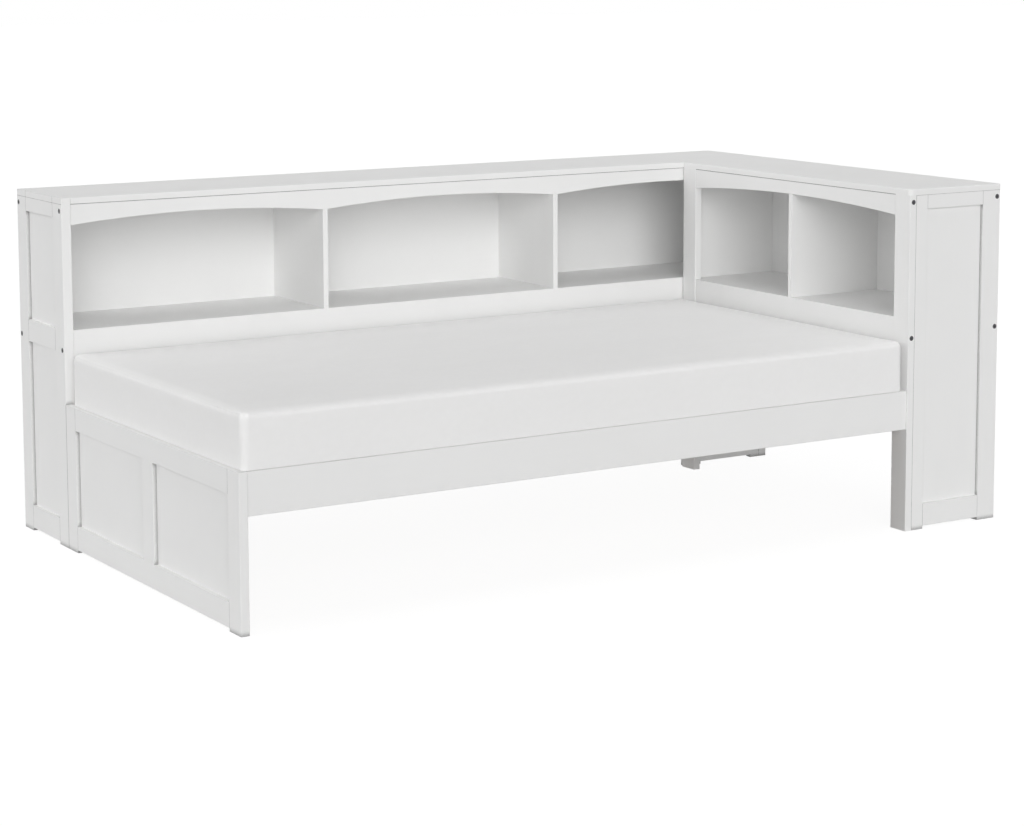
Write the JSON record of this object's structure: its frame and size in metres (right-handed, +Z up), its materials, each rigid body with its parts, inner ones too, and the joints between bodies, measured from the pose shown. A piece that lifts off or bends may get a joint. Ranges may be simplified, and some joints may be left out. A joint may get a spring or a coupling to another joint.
{
  "type": "corner bookcase bed",
  "caption": "Low bed with a white framed footboard, a bookcase along its wall side and another across its head, arched valances, slats and a mattress.",
  "frame": {"origin": "centre of the bounding box on the floor", "axes": "+X from the foot of the bed to its head, +Y from the open side to the wall, +Z up"},
  "size_m": [2.254, 1.314, 0.908],
  "materials": {
    "white_wood": "white paint, satin",
    "bare_wood": "planed, unfinished",
    "mattress_cloth": "knitted white ticking",
    "webbing": "woven tape",
    "dark_steel": "black oxide",
    "zinc_steel": "bright zinc"
  },
  "bodies": {
    "root": {"bed_slats": "bare_wood", "case_screws": "dark_steel", "corner_frame_bottom_rail": "white_wood", "corner_frame_panel": "white_wood", "corner_frame_stiles": "white_wood", "corner_frame_top_rail": "white_wood", "footboard_bottom_rail": "white_wood", "footboard_left_stile": "white_wood", "footboard_muntin": "white_wood", "footboard_panels": "white_wood", "footboard_right_stile": "white_wood", "footboard_top_rail": "white_wood", "head_case_back": "white_wood", "head_case_dividers": "white_wood", "head_case_front_end_bottom_rail": "white_wood", "head_case_front_end_left_stile": "white_wood", "head_case_front_end_panel": "white_wood", "head_case_front_end_right_stile": "white_wood", "head_case_front_end_top_rail": "white_wood", "head_case_front_post": "white_wood", "head_case_lower_rail": "white_wood", "head_case_shelf": "white_wood", "head_case_shelf_apron": "white_wood", "head_case_shelf_stretcher": "white_wood", "head_case_top": "white_wood", "head_case_top_stretcher": "white_wood", "head_case_valance": "white_wood", "head_case_wall_board": "white_wood", "head_case_wall_post": "white_wood", "loose_tenons": "bare_wood", "mattress": "mattress_cloth", "rail_hook_plates": "zinc_steel", "rail_slot_plates": "zinc_steel", "side_case_back": "white_wood", "side_case_cleat": "bare_wood", "side_case_dividers": "white_wood", "side_case_foot_end_bottom_rail": "white_wood", "side_case_foot_end_left_stile": "white_wood", "side_case_foot_end_lower_panel": "white_wood", "side_case_foot_end_middle_rail": "white_wood", "side_case_foot_end_right_stile": "white_wood", "side_case_foot_end_top_rail": "white_wood", "side_case_foot_end_upper_panel": "white_wood", "side_case_head_end_bottom_rail": "white_wood", "side_case_head_end_left_stile": "white_wood", "side_case_head_end_lower_panel": "white_wood", "side_case_head_end_middle_rail": "white_wood", "side_case_head_end_right_stile": "white_wood", "side_case_head_end_top_rail": "white_wood", "side_case_head_end_upper_panel": "white_wood", "side_case_lower_rail": "white_wood", "side_case_shelf": "white_wood", "side_case_shelf_apron": "white_wood", "side_case_shelf_stretcher": "white_wood", "side_case_top": "white_wood", "side_case_top_stretcher": "white_wood", "side_case_valance": "white_wood", "side_rail": "white_wood", "side_rail_cleat": "bare_wood", "slat_webbing": "webbing"}
  },
  "joints": []
}
